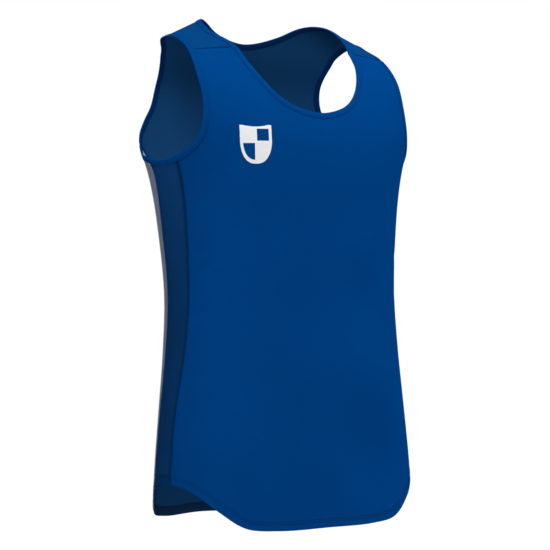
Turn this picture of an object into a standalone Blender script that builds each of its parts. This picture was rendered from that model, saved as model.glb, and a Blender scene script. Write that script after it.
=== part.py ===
"""A running singlet, filled out as if worn, with nobody in it.

Units are metres, with +Z up. The front faces -Y and the wearer's right is towards -X. The
origin is between the shoulder straps, level with the crest of the shoulders: that is where the
wearer holds the singlet up, and the cloth hangs below it.

All the cloth lies on one form. A place on the form is (turn, reach). Turn is the angle in
degrees from the centre plane, positive to the wearer's left: 0 is the centre and 90 is the side.
Reach is the distance down from the shoulder crest, negative on the front and positive on the
back. A turn past 90 goes on round the side, from the front to the back or the other way, so
each place has two names: (110, -0.3) is (70, 0.3).

Each panel is cut out of the form along its own seams and edges, and given the cloth's wall. The
bindings are folded strips that wrap the cut edges of the neck and the armholes.
"""
from collections import namedtuple

import bmesh
import bpy
import numpy as np
from mathutils.geometry import delaunay_2d_cdt

# --- Cloth and sewing, metres ---
CLOTH = 0.0010             # wall of a panel
SEAM_GAP = 0.0003          # between two pieces at a seam
BINDING_WIDTH = 0.0085     # finished width of the neck and armhole bindings
BINDING_WALL = 0.0010      # wall of each leg of the folded binding
BINDING_FOLD = 0.0012      # wall at the fold, round the panel's cut edge
BINDING_PLAY = 0.00060     # clear space between the binding and the panel inside it
BINDING_ROUND = 0.0009     # corner of the fold
PRINT_WALL = 0.0004        # chest print
PRINT_GAP = 0.0003         # print to panel

# --- Facets ---
STATION = 0.0125           # step along edges and seams
GRID = 0.027               # step of the points inside a panel
DEGREE_LENGTH = 0.0034     # length of one degree of turn, about, on the flat pattern
STRAP_TURN = 35.0          # where a strap's own length is taken for the flat pattern

# --- The form the cloth lies on ---
CREST_RADIUS = 0.045       # how sharply the form turns over at the shoulder crest
RIDGE_RADIUS = 0.050       # the same, from strap to strap
FULLNESS = 0.11            # how much fuller a level is than an ellipse

Level = namedtuple("Level", "drop half_width side_y front_y back_y shoulder_fall")
LEVELS = (
    Level(0.000, 0.2160, 0.0290, 0.0290, 0.0290, 0.510),     # crest of the shoulders
    Level(0.055, 0.2066, 0.0200, -0.0065, 0.0630, 0.340),
    Level(0.105, 0.2195, 0.0085, -0.0545, 0.0850, 0.150),    # forward shoulder seams
    Level(0.160, 0.2225, 0.0050, -0.0935, 0.1130, 0.020),
    Level(0.225, 0.2095, 0.0010, -0.1215, 0.1240, 0.000),    # chest
    Level(0.300, 0.1865, 0.0030, -0.1265, 0.1175, 0.000),
    Level(0.380, 0.1760, 0.0020, -0.1230, 0.1080, 0.000),
    Level(0.460, 0.1720, 0.0000, -0.1185, 0.1000, 0.000),    # waist
    Level(0.540, 0.1770, 0.0000, -0.1170, 0.0980, 0.000),
    Level(0.620, 0.1855, 0.0000, -0.1170, 0.1005, 0.000),
    Level(0.700, 0.1935, 0.0000, -0.1170, 0.1045, 0.000),    # hips
    Level(0.790, 0.1985, 0.0000, -0.1150, 0.1110, 0.000),
)

# --- Edges and seams, on the wearer's left; the right is their mirror image ---
Place = namedtuple("Place", "turn reach")
NECK = (
    Place(0.0, -0.214),     # centre front
    Place(10.0, -0.204),
    Place(20.8, -0.141),
    Place(22.5, -0.1074),   # forward shoulder seam
    Place(28.8, -0.057),
    Place(25.1, 0.000),     # shoulder crest
    Place(19.8, 0.0387),
    Place(13.2, 0.0674),
    Place(0.0, 0.089),      # centre back
)
ARMHOLE = (
    Place(70.7, -0.271),    # front side seam
    Place(54.0, -0.246),
    Place(46.4, -0.200),
    Place(44.5, -0.150),
    Place(43.8, -0.101),    # forward shoulder seam
    Place(45.9, -0.0362),
    Place(43.9, 0.000),     # shoulder crest
    Place(45.4, 0.0459),
    Place(39.2, 0.0893),
    Place(35.4, 0.150),
    Place(38.2, 0.186),
    Place(45.5, 0.210),
    Place(53.2, 0.229),
    Place(60.0, 0.2455),    # back side seam
    Place(65.5, 0.257),
    Place(80.5, 0.268),
    Place(94.5, 0.275),     # underarm, round to the front
)
HEM = (
    Place(0.0, -0.780),     # centre front
    Place(20.7, -0.780),
    Place(33.8, -0.7755),
    Place(49.1, -0.7495),
    Place(62.2, -0.728),
    Place(72.7, -0.719),
    Place(81.1, -0.716),    # front side seam
    Place(95.0, -0.718),
    Place(108.0, -0.736),
    Place(118.5, -0.759),   # back side seam
    Place(135.5, -0.768),
    Place(160.0, -0.768),
    Place(180.0, -0.771),   # centre back
)
NECK_SEAM_ROW = 3
ARM_FRONT_ROW = 0
ARM_SHOULDER_ROW = 4
ARM_BACK_ROW = 13
HEM_FRONT_ROW = 6
HEM_BACK_ROW = 9
FRONT_SIDE_SEAM = (
    ARMHOLE[ARM_FRONT_ROW],
    Place(71.5, -0.341),
    Place(73.2, -0.422),
    Place(75.4, -0.529),
    Place(80.6, -0.630),
    HEM[HEM_FRONT_ROW],
)
BACK_SIDE_SEAM = (
    Place(120.0, -0.2455),
    Place(128.0, -0.2600),
    Place(132.2, -0.2790),
    Place(132.0, -0.3050),
    Place(130.5, -0.3400),
    Place(129.2, -0.390),
    Place(127.3, -0.480),
    Place(123.5, -0.570),
    Place(119.6, -0.660),
    HEM[HEM_BACK_ROW],
)

# --- Chest print: a plain quartered shield on the wearer's right chest ---
PRINT_CENTRE = Place(-28.4, -0.260)
PRINT_WIDTH = 0.044
PRINT_HEIGHT = 0.052
PRINT_BORDER = 0.0040
PRINT_NECK = 0.0015        # half the width left between the open quarters
PRINT_STRAIGHT = 0.40      # part of the height where the sides run straight down
PRINT_ARC_STEPS = 6
PRINT_STEPS = 4            # moves from its centre out to its edge

# --- Colours ---
Finish = namedtuple("Finish", "color roughness")
ROYAL_KNIT = Finish((0.0006, 0.050, 0.220), 0.75)
ROYAL_BINDING = Finish((0.0007, 0.053, 0.230), 0.72)
NAVY_MESH = Finish((0.0027, 0.025, 0.090), 0.80)
WHITE_PRINT = Finish((0.86, 0.85, 0.83), 0.55)


# ---------------------------------------------------------------- the form

def smooth(knots, values, at):
    """Values between the knots, on a smooth curve through them."""
    width = np.diff(knots)
    rise = np.diff(values, axis=0) / width[:, None]
    slope = np.empty_like(values)
    slope[0], slope[-1] = rise[0], rise[-1]
    shared = width[:-1, None] + width[1:, None]
    slope[1:-1] = (rise[:-1] * width[1:, None] + rise[1:] * width[:-1, None]) / shared
    cell = np.clip(np.searchsorted(knots, at) - 1, 0, len(knots) - 2)
    span = width[cell][..., None]
    t = (at - knots[cell])[..., None] / span
    start = (2 * t**3 - 3 * t**2 + 1) * values[cell] + (t**3 - 2 * t**2 + t) * span * slope[cell]
    end = (3 * t**2 - 2 * t**3) * values[cell + 1] + (t**3 - t**2) * span * slope[cell + 1]
    return start + end


def form_table():
    """The levels as one run, from the front hem over the crest to the back hem."""
    front = [(-row.drop, row.half_width, row.side_y, row.front_y, row.shoulder_fall)
             for row in reversed(LEVELS[1:])]
    back = [(row.drop, row.half_width, row.side_y, row.back_y, row.shoulder_fall)
            for row in LEVELS]
    table = np.array(front + back)
    return table[:, 0], table[:, 1:]


FORM_REACH, FORM_VALUES = form_table()


def on_form(places):
    """Points of the form at an array of (turn, reach)."""
    turn = (places[..., 0] + 180.0) % 360.0 - 180.0
    reach = places[..., 1]
    past_side = np.abs(turn) > 90.0
    turn = np.where(past_side, np.sign(turn) * 180.0 - turn, turn)
    reach = np.where(past_side, -reach, reach)
    half_width, side_y, centre_y, fall = np.moveaxis(smooth(FORM_REACH, FORM_VALUES, reach), -1, 0)
    sine, cosine = np.sin(np.radians(turn)), np.cos(np.radians(turn))
    x = half_width * sine * (1 + FULLNESS * cosine**2)
    y = side_y + (centre_y - side_y) * cosine * (1 + FULLNESS * sine**2)
    drop = np.hypot(reach, CREST_RADIUS) - CREST_RADIUS
    z = -drop - fall * (np.hypot(x, RIDGE_RADIUS) - RIDGE_RADIUS)
    return np.stack([x, y, z], axis=-1)


def steps_on_form(places):
    """How a point moves for one degree of turn, and for one metre of reach."""
    turn_step = np.array([0.05, 0.0])
    reach_step = np.array([0.0, 0.0002])
    by_turn = (on_form(places + turn_step) - on_form(places - turn_step)) / 0.1
    by_reach = (on_form(places + reach_step) - on_form(places - reach_step)) / 0.0004
    return by_turn, by_reach


def unit(vectors):
    return vectors / np.linalg.norm(vectors, axis=-1, keepdims=True)


def outward(places):
    """Directions that point out of the cloth."""
    by_turn, by_reach = steps_on_form(places)
    return unit(np.cross(by_turn, by_reach))


def slide(places, shifts):
    """Places moved over the form by small shifts in space."""
    by_turn, by_reach = steps_on_form(places)
    tt = (by_turn * by_turn).sum(-1)
    tr = (by_turn * by_reach).sum(-1)
    rr = (by_reach * by_reach).sum(-1)
    along_turn = (by_turn * shifts).sum(-1)
    along_reach = (by_reach * shifts).sum(-1)
    bottom = tt * rr - tr * tr
    turn = (rr * along_turn - tr * along_reach) / bottom
    reach = (tt * along_reach - tr * along_turn) / bottom
    return places + np.stack([turn, reach], axis=-1)


# ---------------------------------------------------------------- edges and seams

def mirrored(places):
    return np.asarray(places, float) * (-1.0, 1.0)


def other_name(place):
    """The second name of a place on the wearer's left."""
    return Place(180.0 - place[0], -place[1])


PATH_STEPS = 24            # fine steps between two rows of a path


def path(rows, before, after):
    """A smooth path through the rows, in fine steps; before and after only steer its ends."""
    knots = np.array([before, *rows, after], float)
    flat = knots * (DEGREE_LENGTH, 1.0)
    length = np.concatenate([[0.0], np.cumsum(np.linalg.norm(np.diff(flat, axis=0), axis=1))])
    fine = [np.linspace(length[i], length[i + 1], PATH_STEPS, endpoint=False)
            for i in range(1, len(knots) - 2)]
    return smooth(length, knots, np.concatenate(fine + [length[-2:-1]]))


def stretch(fine_path, first_row, last_row, edge_point=0.0):
    """Evenly spaced places on a path between two of its rows.

    edge_point sets one place at that distance from the first row, before the even ones.
    """
    part = fine_path[first_row * PATH_STEPS:last_row * PATH_STEPS + 1]
    run = np.linalg.norm(np.diff(on_form(part), axis=0), axis=1)
    length = np.concatenate([[0.0], np.cumsum(run)])
    count = max(2, round((length[-1] - edge_point) / STATION) + 1)
    at = np.linspace(edge_point, length[-1], count)
    if edge_point:
        at = np.concatenate([[0.0], at])
    return np.stack([np.interp(at, length, part[:, 0]), np.interp(at, length, part[:, 1])], axis=-1)


BINDING_ROW = BINDING_WIDTH + 0.0010     # first row of panel points clear of the binding

neck_path = path(NECK, mirrored(NECK[1]), mirrored(NECK[-2]))
arm_path = path([*ARMHOLE, other_name(ARMHOLE[0])], other_name(ARMHOLE[-1]), other_name(ARMHOLE[1]))
hem_path = path(HEM, mirrored(HEM[1]), (360.0 - HEM[-2].turn, HEM[-2].reach))


def open_path(rows):
    """A path whose ends run on straight."""
    rows = np.array(rows)
    return path(rows, 2 * rows[0] - rows[1], 2 * rows[-1] - rows[-2])


neck_front = stretch(neck_path, 0, NECK_SEAM_ROW)
neck_back = stretch(neck_path, NECK_SEAM_ROW, len(NECK) - 1)
arm_front = stretch(arm_path, ARM_FRONT_ROW, ARM_SHOULDER_ROW)
arm_back = stretch(arm_path, ARM_SHOULDER_ROW, ARM_BACK_ROW)
arm_under = stretch(arm_path, ARM_BACK_ROW, len(ARMHOLE))
hem_front = stretch(hem_path, 0, HEM_FRONT_ROW)
hem_side = stretch(hem_path, HEM_FRONT_ROW, HEM_BACK_ROW)
hem_back = stretch(hem_path, HEM_BACK_ROW, len(HEM) - 1)
front_seam = stretch(open_path(FRONT_SIDE_SEAM), 0, len(FRONT_SIDE_SEAM) - 1, BINDING_ROW)
back_seam = stretch(open_path(BACK_SIDE_SEAM), 0, len(BACK_SIDE_SEAM) - 1, BINDING_ROW)


def shoulder_seam_places():
    """The forward shoulder seam, from the neck to the armhole."""
    ends = np.array([NECK[NECK_SEAM_ROW], ARMHOLE[ARM_SHOULDER_ROW]])
    length = np.linalg.norm(on_form(ends[1]) - on_form(ends[0]))
    inner = np.linspace(BINDING_ROW, length - BINDING_ROW, round(length / STATION))
    share = np.concatenate([[0.0], inner, [length]]) / length
    return ends[0] + share[:, None] * (ends[1] - ends[0])


def renamed(places):
    """Places of the wearer's left under their other names."""
    return places * (-1.0, -1.0) + (180.0, 0.0)


def edge_inward(loop):
    """Directions along the cloth, square to a closed edge and into the cloth."""
    points = on_form(loop)
    along = unit(np.roll(points, -1, axis=0) - np.roll(points, 1, axis=0))
    inward = unit(np.cross(outward(loop), along))
    if ((points - points.mean(axis=0)) * inward).sum() < 0:
        inward = -inward
    return inward


def square_in(loop, index):
    """The place just clear of the binding, square in from one station of an edge."""
    return slide(loop[index], edge_inward(loop)[index] * BINDING_ROW)


neck_half = np.concatenate([neck_front, neck_back[1:]])
neck_loop = np.concatenate([neck_half, mirrored(neck_half)[::-1][1:-1]])
arm_loop = np.concatenate([arm_front[:-1], arm_back[:-1], arm_under[:-1]])
shoulder_seam = shoulder_seam_places()
shoulder_seam[1] = square_in(neck_loop, len(neck_front) - 1)
shoulder_seam[-2] = square_in(arm_loop, len(arm_front) - 1)
front_seam[1] = square_in(arm_loop, 0)
back_seam[1] = renamed(square_in(arm_loop, len(arm_front) + len(arm_back) - 2))


# ---------------------------------------------------------------- panels

CUT_BACK = BINDING_FOLD + BINDING_PLAY      # from a bound edge to the panel's cut edge inside it
HALF_GAP = SEAM_GAP / 2


def chain(parts):
    """Joins stretches end to end: places, and how far each step between them is inset."""
    places, insets = [], []
    for part, inset in parts:
        places.extend(part[:-1])
        insets.extend([inset] * (len(part) - 1))
    return np.array(places), np.array(insets)


def both_sides(parts):
    """The wearer's left half of an outline, then its mirror image back to the start."""
    other = [(mirrored(part)[::-1], inset) for part, inset in reversed(parts)]
    return chain(parts + other)


def inset_outline(places, insets):
    """The outline moved in over the form, each step by its own inset."""
    points = on_form(places)
    out = outward(places)
    ahead = unit(np.roll(points, -1, axis=0) - points)
    behind = np.roll(ahead, 1, axis=0)
    inward_ahead = unit(np.cross(out, ahead))
    inward_behind = unit(np.cross(out, behind))
    inset_ahead = insets
    inset_behind = np.roll(insets, 1)
    middle = inward_ahead + inward_behind
    turn = (inward_ahead * inward_behind).sum(-1)
    plain = middle / (1 + turn)[:, None] * inset_ahead[:, None]
    corner = np.abs(inset_ahead - inset_behind) > 1e-9
    share = 1 - turn**2
    share[~corner] = 1.0
    weight_ahead = ((inset_ahead - turn * inset_behind) / share)[:, None]
    weight_behind = ((inset_behind - turn * inset_ahead) / share)[:, None]
    mitred = inward_ahead * weight_ahead + inward_behind * weight_behind
    return slide(places, np.where(corner[:, None], mitred, plain))


def edge_row(places, insets):
    """Places just clear of the binding along each bound stretch of an outline."""
    bound = (insets == CUT_BACK) & (np.roll(insets, 1) == CUT_BACK)
    row = inset_outline(places, np.full(len(places), BINDING_ROW))
    outline = to_pattern(inset_outline(places, insets))
    flat = to_pattern(row)
    clear = distance_to_outline(flat, outline) > 0.4 * BINDING_ROW
    return row[bound & clear & inside(flat, outline)]


def strap_lengths():
    """Reaches, and the cloth's length from the shoulder crest to each, down a strap."""
    reaches = np.linspace(-0.8, 0.8, 641)
    points = on_form(np.stack([np.full(len(reaches), STRAP_TURN), reaches], axis=-1))
    run = np.linalg.norm(np.diff(points, axis=0), axis=1)
    lengths = np.concatenate([[0.0], np.cumsum(run)])
    return reaches, lengths - np.interp(0.0, reaches, lengths)


STRAP_REACHES, STRAP_LENGTHS = strap_lengths()


def to_pattern(places):
    """Flat pattern points, about true to length."""
    return np.stack([places[..., 0] * DEGREE_LENGTH,
                     np.interp(places[..., 1], STRAP_REACHES, STRAP_LENGTHS)], axis=-1)


def from_pattern(points):
    return np.stack([points[..., 0] / DEGREE_LENGTH,
                     np.interp(points[..., 1], STRAP_LENGTHS, STRAP_REACHES)], axis=-1)


def distance_to_outline(points, outline):
    """Distance from each flat point to the closed outline."""
    start = outline
    leg = np.roll(outline, -1, axis=0) - outline
    offset = points[:, None] - start
    share = np.clip((offset * leg).sum(-1) / (leg * leg).sum(-1), 0.0, 1.0)
    return np.linalg.norm(offset - share[..., None] * leg, axis=-1).min(axis=1)


def inside(points, outline):
    """Whether each flat point lies inside the closed outline."""
    x, y = points[:, 0, None], points[:, 1, None]
    x0, y0 = outline[:, 0], outline[:, 1]
    x1, y1 = np.roll(x0, -1), np.roll(y0, -1)
    spans = (y0 > y) != (y1 > y)
    rise = np.where(y1 == y0, 1.0, y1 - y0)
    crossing = x0 + (y - y0) / rise * (x1 - x0)
    return (spans & (x < crossing)).sum(axis=1) % 2 == 1


def grid_places(outline, taken):
    """Staggered places inside an outline, clear of its edge and of the places taken."""
    flat = to_pattern(outline)
    low, high = flat.min(axis=0), flat.max(axis=0)
    rows = []
    for index, v in enumerate(np.arange(low[1], high[1], GRID * np.sqrt(3) / 2)):
        half_span = max(-low[0], high[0]) if low[0] < 0 else 0.0
        middle = 0.0 if low[0] < 0 else (low[0] + high[0]) / 2
        span = half_span or (high[0] - low[0]) / 2
        count = int(span / GRID) + 1
        u = middle + (np.arange(-count, count + 1) + 0.5 * (index % 2)) * GRID
        rows.append(np.stack([u, np.full(len(u), v)], axis=-1))
    points = np.concatenate(rows)
    points = points[inside(points, flat)]
    points = points[distance_to_outline(points, flat) > 0.60 * GRID]
    if len(taken):
        gap = np.linalg.norm(points[:, None] - to_pattern(taken), axis=-1).min(axis=1)
        points = points[gap > 0.55 * GRID]
    return from_pattern(points)


def fill_outline(places, insets, print_loops=()):
    """Triangles that fill an outline. The print's loops, if any, become edges among them."""
    outline = inset_outline(places, insets)
    row = edge_row(places, insets)
    fixed = np.concatenate([row, *print_loops])
    edges = []
    places = np.concatenate([outline, fixed, grid_places(outline, fixed)])
    start = len(outline) + len(row)
    for loop in print_loops:
        edges += [(start + i, start + (i + 1) % len(loop)) for i in range(len(loop))]
        start += len(loop)
    flat = [tuple(point) for point in to_pattern(places).tolist()]
    result = delaunay_2d_cdt(flat, edges, [list(range(len(outline)))], 1, 1e-7)
    source = [origins[0] for origins in result[3]]
    return places, [[source[i] for i in face] for face in result[2]]


def walled(points, directions, triangles, low, high):
    """A closed wall between two heights over the points: its vertices and faces."""
    count = len(points)
    vertices = np.concatenate([points + directions * high, points + directions * low])
    faces = [list(face) for face in triangles]
    faces += [[i + count for i in reversed(face)] for face in triangles]
    used = {(face[i], face[(i + 1) % 3]) for face in triangles for i in range(3)}
    for first, second in used:
        if (second, first) not in used:
            faces.append([first + count, second + count, second, first])
    return vertices, faces


# ---------------------------------------------------------------- bindings

def binding_section():
    """The folded strip across its width: distance in from the edge, and height off the cloth."""
    slot = CLOTH / 2 + BINDING_PLAY
    top = slot + BINDING_WALL
    half = [(BINDING_WIDTH, slot), (BINDING_WIDTH, top), (BINDING_ROUND, top), (0.0, top - BINDING_ROUND)]
    other = [(into, -height) for into, height in reversed(half)]
    return [(BINDING_FOLD, slot), *half, *other, (BINDING_FOLD, -slot)]


def binding(loop):
    """A folded strip round a closed loop of places: its vertices and faces."""
    inward = edge_inward(loop)
    section = binding_section()
    rings = []
    for into, height in section:
        ring = slide(loop, inward * into)
        rings.append(on_form(ring) + outward(ring) * height)
    vertices = np.concatenate(rings)
    count, size = len(loop), len(section)
    faces = []
    for j in range(size):
        row, next_row = j * count, (j + 1) % size * count
        for i in range(count):
            k = (i + 1) % count
            faces.append([row + i, row + k, next_row + k, next_row + i])
    return vertices, faces


# ---------------------------------------------------------------- chest print

def shield_points(width, height, straight, steps):
    """A heater shield, from its top left corner anticlockwise, about its middle."""
    half = width / 2
    top, shoulder, tip = height / 2, height / 2 - straight * height, -height / 2
    side = []
    for step in range(steps + 1):
        turn = np.pi / 2 * step / steps
        side.append((half * np.cos(turn) ** 0.8 if step < steps else 0.0,
                     shoulder + (tip - shoulder) * np.sin(turn)))
    left = [(-x, y) for x, y in side]
    right = side[::-1][1:]
    return [(-half, top), *left, *right, (half, top)]


def print_loops():
    """The shield's outline and its two open quarters, as places on the front."""
    outline = shield_points(PRINT_WIDTH, PRINT_HEIGHT, PRINT_STRAIGHT, PRINT_ARC_STEPS)
    inner = shield_points(PRINT_WIDTH - 2 * PRINT_BORDER, PRINT_HEIGHT - 2.6 * PRINT_BORDER,
                          PRINT_STRAIGHT, PRINT_ARC_STEPS)
    middle_y = PRINT_HEIGHT * 0.06
    top = inner[0][1]
    half = inner[-1][0]
    above, below = middle_y + PRINT_NECK, middle_y - PRINT_NECK
    upper = [(PRINT_NECK, above), (half, above), (half, top), (PRINT_NECK, top)]
    curve = [(x, y) for x, y in inner[1:PRINT_ARC_STEPS + 1] if y < below - 0.001]
    lower = [(-PRINT_NECK, below), (-half, below), *curve, (-PRINT_NECK, inner[PRINT_ARC_STEPS + 1][1])]
    centre = np.array(PRINT_CENTRE, float)
    across = unit(np.cross(np.array([0.0, 0.0, 1.0]), outward(centre)))
    up = unit(np.cross(outward(centre), across))
    loops = []
    for loop in (outline, upper, lower):
        shift = np.array([x * across + y * up for x, y in loop])
        places = np.tile(centre, (len(loop), 1))
        for step in range(PRINT_STEPS):
            places = slide(places, shift / PRINT_STEPS)
        loops.append(places)
    return loops


def face_in_print(centres, loops):
    """Which faces belong to the print: inside its outline and outside its open quarters."""
    flat = [to_pattern(loop) for loop in loops]
    within = inside(centres, flat[0])
    for window in flat[1:]:
        within &= ~inside(centres, window)
    return within


# ---------------------------------------------------------------- objects

def material_for(name, finish):
    material = bpy.data.materials.new(name)
    material.use_nodes = True
    shader = material.node_tree.nodes["Principled BSDF"]
    shader.inputs["Base Color"].default_value = (*finish.color, 1.0)
    shader.inputs["Roughness"].default_value = finish.roughness
    shader.inputs["Metallic"].default_value = 0.0
    return material


def add_object(name, vertices, faces, finish):
    """Makes one closed, outward-facing object."""
    mesh = bpy.data.meshes.new(name)
    mesh.from_pydata([tuple(vertex) for vertex in vertices.tolist()], [], faces)
    model = bmesh.new()
    model.from_mesh(mesh)
    loose = [vertex for vertex in model.verts if not vertex.link_faces]
    bmesh.ops.delete(model, geom=loose, context="VERTS")
    bmesh.ops.recalc_face_normals(model, faces=model.faces)
    model.to_mesh(mesh)
    model.free()
    mesh.materials.append(material_for(name, finish))
    item = bpy.data.objects.new(name, mesh)
    bpy.context.scene.collection.objects.link(item)
    return item


def mirrored_solid(vertices, faces):
    return vertices * (-1.0, 1.0, 1.0), [face[::-1] for face in faces]


def panel_solid(places, triangles):
    return walled(on_form(places), outward(places), triangles, -CLOTH / 2, CLOTH / 2)


def build_front_and_print():
    parts = [
        (hem_front, 0.0),
        (front_seam[::-1], HALF_GAP),
        (arm_front, CUT_BACK),
        (shoulder_seam[::-1], HALF_GAP),
        (neck_front[::-1], CUT_BACK),
    ]
    places, insets = both_sides(parts)
    loops = print_loops()
    places, triangles = fill_outline(places, insets, loops)
    add_object("front_panel", *panel_solid(places, triangles), ROYAL_KNIT)
    centres = to_pattern(places[np.array(triangles)].mean(axis=1))
    chosen = face_in_print(centres, loops)
    printed = [face for face, keep in zip(triangles, chosen) if keep]
    low = CLOTH / 2 + PRINT_GAP
    solid = walled(on_form(places), outward(places), printed, low, low + PRINT_WALL)
    add_object("chest_motif", *solid, WHITE_PRINT)


def build_back():
    parts = [
        (neck_back[::-1], CUT_BACK),
        (shoulder_seam, HALF_GAP),
        (arm_back, CUT_BACK),
        (renamed(back_seam), HALF_GAP),
        (renamed(hem_back), 0.0),
    ]
    places, insets = both_sides(parts)
    solid = panel_solid(*fill_outline(places, insets))
    add_object("back_panel", *solid, ROYAL_KNIT)


def build_sides():
    parts = [
        (hem_side, 0.0),
        (back_seam[::-1], HALF_GAP),
        (renamed(arm_under), CUT_BACK),
        (front_seam, HALF_GAP),
    ]
    places, insets = chain(parts)
    solid = panel_solid(*fill_outline(places, insets))
    add_object("side_panel_left", *solid, NAVY_MESH)
    add_object("side_panel_right", *mirrored_solid(*solid), NAVY_MESH)


def build_bindings():
    add_object("neck_binding", *binding(neck_loop), ROYAL_BINDING)
    solid = binding(arm_loop)
    add_object("armhole_binding_left", *solid, ROYAL_BINDING)
    add_object("armhole_binding_right", *mirrored_solid(*solid), ROYAL_BINDING)


for old in list(bpy.data.objects):
    bpy.data.objects.remove(old, do_unlink=True)
build_front_and_print()
build_back()
build_sides()
build_bindings()
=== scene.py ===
import math
from collections import namedtuple

import bmesh
import bpy
import numpy as np
from mathutils import Matrix, Vector
from mathutils.geometry import delaunay_2d_cdt


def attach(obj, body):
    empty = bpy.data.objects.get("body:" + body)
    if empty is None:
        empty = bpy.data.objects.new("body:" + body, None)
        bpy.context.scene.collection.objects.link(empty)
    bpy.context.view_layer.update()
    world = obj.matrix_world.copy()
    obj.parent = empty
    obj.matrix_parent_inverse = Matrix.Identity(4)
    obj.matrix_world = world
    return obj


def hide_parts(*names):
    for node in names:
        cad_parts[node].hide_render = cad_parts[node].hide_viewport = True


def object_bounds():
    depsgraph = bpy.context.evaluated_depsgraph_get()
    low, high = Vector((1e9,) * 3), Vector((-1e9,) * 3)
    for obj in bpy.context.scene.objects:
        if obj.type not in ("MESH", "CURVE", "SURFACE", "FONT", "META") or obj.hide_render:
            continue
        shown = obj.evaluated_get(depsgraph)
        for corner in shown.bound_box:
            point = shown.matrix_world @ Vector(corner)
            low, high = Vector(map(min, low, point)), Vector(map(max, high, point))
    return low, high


# The running singlet: knit panels, mesh sides, folded bindings, hems, stitching and the studio.
#
# All the cloth lies on one form. A place on the form is (turn, reach). Turn is the angle in
# degrees from the centre plane, positive to the wearer's left: 0 is the centre and 90 the side.
# Reach is the distance down from the shoulder crest, negative on the front and positive on the
# back. A turn past 90 goes on round the side, so each place has two names.

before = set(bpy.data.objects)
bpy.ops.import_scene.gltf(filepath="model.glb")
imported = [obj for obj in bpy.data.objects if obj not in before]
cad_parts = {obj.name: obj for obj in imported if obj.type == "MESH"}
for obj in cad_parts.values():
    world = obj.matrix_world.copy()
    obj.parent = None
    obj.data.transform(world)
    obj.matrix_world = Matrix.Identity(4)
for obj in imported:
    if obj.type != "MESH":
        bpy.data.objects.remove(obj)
cad_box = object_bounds()

# --- Cloth and sewing, metres ---
CLOTH = 0.0007             # wall of a panel
SEAM_GAP = 0.0001          # between two panels at a seam
BINDING_WIDTH = 0.0085
BINDING_WALL = 0.0007
BINDING_FOLD = 0.0009
BINDING_PLAY = 0.0002
PRINT_WALL = 0.00022
PRINT_GAP = 0.00008
SEAM_DITCH = 0.0008        # how far the cloth dips at a seam
SEAM_SOFT = 0.0022         # how far from a seam the dip reaches
SEAM_REACH = 0.0200        # how far from a seam the cloth knows of it
ALLOWANCE = 0.0055         # width of the seam allowance inside
HEM_TURN = 0.0125          # height of the turned-up hem
HEM_WALL = 0.0006

# --- Stitching, metres ---
STITCH_PITCH = 0.0027
STITCH_LENGTH = 0.0021
THREAD_RADIUS = 0.00022
HEM_THREAD_RADIUS = 0.00030
THREAD_SUNK = 0.00018      # how deep the stitches lie in a binding
BINDING_STITCHES = 0.0019         # from the side of a binding to its row of stitches
HEM_STITCHES = (0.0046, 0.0014)   # from the top of the turned hem to its two rows

# --- Facets ---
STATION = 0.0040           # step along edges and seams
GRID = 0.0052              # step of the points inside a panel
PRINT_GRID = 0.0028        # the same, inside the chest print
SHOULDER_STATIONS = 17     # points along a shoulder seam
TURN_STEP = 0.05           # degrees to each side of a place, to find which way the form runs
REACH_STEP = 0.0002        # the same, in metres of reach
BATCH = 2000               # points measured at a time
DEGREE_LENGTH = 0.0034     # length of one degree of turn, about, on the flat pattern
FOLD_DEGREE = 0.0031       # the same, where the soft folds are
STRAP_TURN = 35.0          # where a strap's own length is taken for the flat pattern
SHARP = math.radians(50)   # an edge sharper than this isn't shaded smooth

# --- The form the cloth lies on ---
CREST_RADIUS = 0.045       # how sharply the form turns over at the shoulder crest
RIDGE_RADIUS = 0.050       # the same, from strap to strap
FULLNESS = 0.11            # how much fuller a level is than an ellipse

Level = namedtuple("Level", "drop half_width side_y front_y back_y shoulder_fall")
LEVELS = (
    Level(0.000, 0.2160, 0.0290, 0.0290, 0.0290, 0.510),     # crest of the shoulders
    Level(0.055, 0.2066, 0.0200, -0.0065, 0.0630, 0.340),
    Level(0.105, 0.2195, 0.0085, -0.0545, 0.0850, 0.150),    # forward shoulder seams
    Level(0.160, 0.2225, 0.0050, -0.0935, 0.1130, 0.020),
    Level(0.225, 0.2095, 0.0010, -0.1215, 0.1240, 0.000),    # chest
    Level(0.300, 0.1865, 0.0030, -0.1265, 0.1175, 0.000),
    Level(0.380, 0.1760, 0.0020, -0.1230, 0.1080, 0.000),
    Level(0.460, 0.1720, 0.0000, -0.1185, 0.1000, 0.000),    # waist
    Level(0.540, 0.1770, 0.0000, -0.1170, 0.0980, 0.000),
    Level(0.620, 0.1855, 0.0000, -0.1170, 0.1005, 0.000),
    Level(0.700, 0.1935, 0.0000, -0.1170, 0.1045, 0.000),    # hips
    Level(0.790, 0.1985, 0.0000, -0.1150, 0.1110, 0.000),
)

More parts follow.
